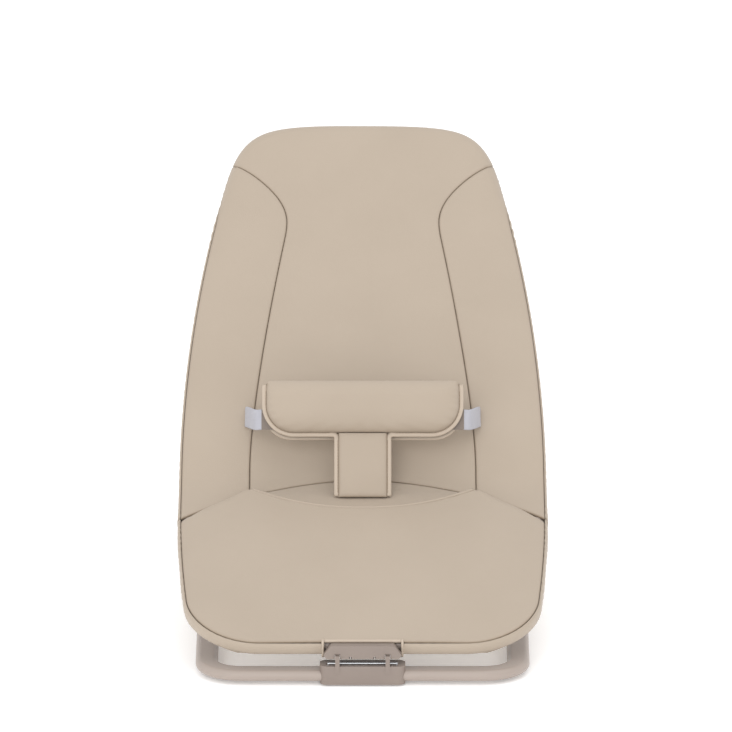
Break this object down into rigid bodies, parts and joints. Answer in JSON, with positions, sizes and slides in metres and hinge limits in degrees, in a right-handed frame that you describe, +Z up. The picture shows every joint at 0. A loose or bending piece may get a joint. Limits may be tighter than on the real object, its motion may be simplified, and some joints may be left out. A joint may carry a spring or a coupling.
{
  "type": "baby bouncer seat",
  "caption": "Reclining baby bouncer: a padded bucket seat on a bent tube frame, hinged to a low base ring at the front and propped by a swinging stand behind.",
  "frame": {"origin": "centre of the whole object's footprint box, on the floor", "axes": "+Z up, +X to the right seen from the front, +Y from the front to the back"},
  "size_m": [0.456, 0.664, 0.5673],
  "materials": {
    "tube_taupe": "semi-gloss taupe powder coat",
    "hub_plastic": "moulded taupe plastic",
    "rubber_foot": "dark moulded rubber",
    "steel_hardware": "bright zinc plate",
    "cover_leather": "matte beige coated fabric, fine grain",
    "rear_cloth": "woven beige lining",
    "webbing": "light grey woven webbing",
    "buckle_plastic": "dark taupe moulded plastic"
  },
  "bodies": {
    "base": {"base_front_tube": "tube_taupe", "base_rear_tube": "tube_taupe", "side_connector_left": "hub_plastic", "side_connector_right": "hub_plastic", "feet_front": "rubber_foot", "feet_rear": "rubber_foot", "front_hub_upper_shell": "hub_plastic", "front_hub_lower_shell": "hub_plastic", "front_hub_screws": "steel_hardware", "hinge_spring_wire": "steel_hardware", "stand_pins": "steel_hardware"},
    "seat": {"seat_hub_front_shell": "hub_plastic", "seat_hub_rear_shell": "hub_plastic", "seat_hub_screws": "steel_hardware", "front_hinge_pin": "steel_hardware", "leg_hoop_tube": "tube_taupe", "back_hoop_tube": "tube_taupe", "elbow_sleeve_left": "steel_hardware", "elbow_sleeve_right": "steel_hardware", "cross_tube_lower": "tube_taupe", "cross_tube_upper": "tube_taupe", "recline_track": "hub_plastic", "track_screws": "steel_hardware", "leg_panel": "cover_leather", "seat_bottom_panel": "cover_leather", "back_panel": "cover_leather", "bolster_left": "cover_leather", "bolster_right": "cover_leather", "leg_band": "cover_leather", "back_band": "cover_leather", "leg_rear_cloth": "rear_cloth", "back_rear_cloth": "rear_cloth", "strap_anchor_left": "hub_plastic", "strap_anchor_right": "hub_plastic", "waist_strap_left": "webbing", "waist_strap_right": "webbing"},
    "restraint": {"crotch_pad": "cover_leather", "waist_pad": "cover_leather", "waist_rear_flap": "cover_leather", "buckle_body": "buckle_plastic", "buckle_tongue_left": "buckle_plastic", "buckle_tongue_right": "buckle_plastic", "buckle_spring": "steel_hardware"},
    "buckle_release": {"buckle_button": "buckle_plastic"},
    "stand": {"stand_tube": "tube_taupe", "stand_end_left": "hub_plastic", "stand_end_right": "hub_plastic"},
    "slider": {"slider_housing": "hub_plastic", "slider_cap": "hub_plastic", "slider_screws": "steel_hardware", "latch_spring": "steel_hardware"},
    "latch": {"latch_plunger": "steel_hardware", "latch_knob": "buckle_plastic"}
  },
  "joints": [
    {"name": "seat_recline", "type": "hinge", "parent": "base", "child": "seat", "pos_m": [0, -0.322, 0.0385], "axis": [1, 0, 0], "range_deg": [-20, 0]},
    {"name": "stand_swing", "type": "hinge", "parent": "base", "child": "stand", "pos_m": [0, 0.162, 0.02], "axis": [1, 0, 0], "range_deg": [-52, 0]},
    {"name": "slider_pivot", "type": "hinge", "parent": "stand", "child": "slider", "pos_m": [0, 0.14146, 0.27986], "axis": [1, 0, 0], "range_deg": [0, 32]},
    {"name": "latch_pull", "type": "slide", "parent": "slider", "child": "latch", "axis": [0, 0.7632, -0.6461], "range_m": [0, 0.003], "stiffness_N_per_m": 800, "springref_m": -0.004, "deforming": ["latch_spring"]},
    {"name": "restraint_tilt", "type": "hinge", "parent": "seat", "child": "restraint", "pos_m": [0, -0.06724, 0.15925], "axis": [1, 0, 0], "range_deg": [0, 25]},
    {"name": "buckle_press", "type": "slide", "parent": "restraint", "child": "buckle_release", "axis": [0, -0.2857, -0.9583], "range_m": [0, 0.003], "stiffness_N_per_m": 600, "springref_m": -0.002, "deforming": ["buckle_spring"]}
  ],
  "couplings": [
    {"joint": "stand_swing", "follows": "seat_recline", "ratio": 2.59},
    {"joint": "slider_pivot", "follows": "seat_recline", "ratio": -1.59}
  ]
}
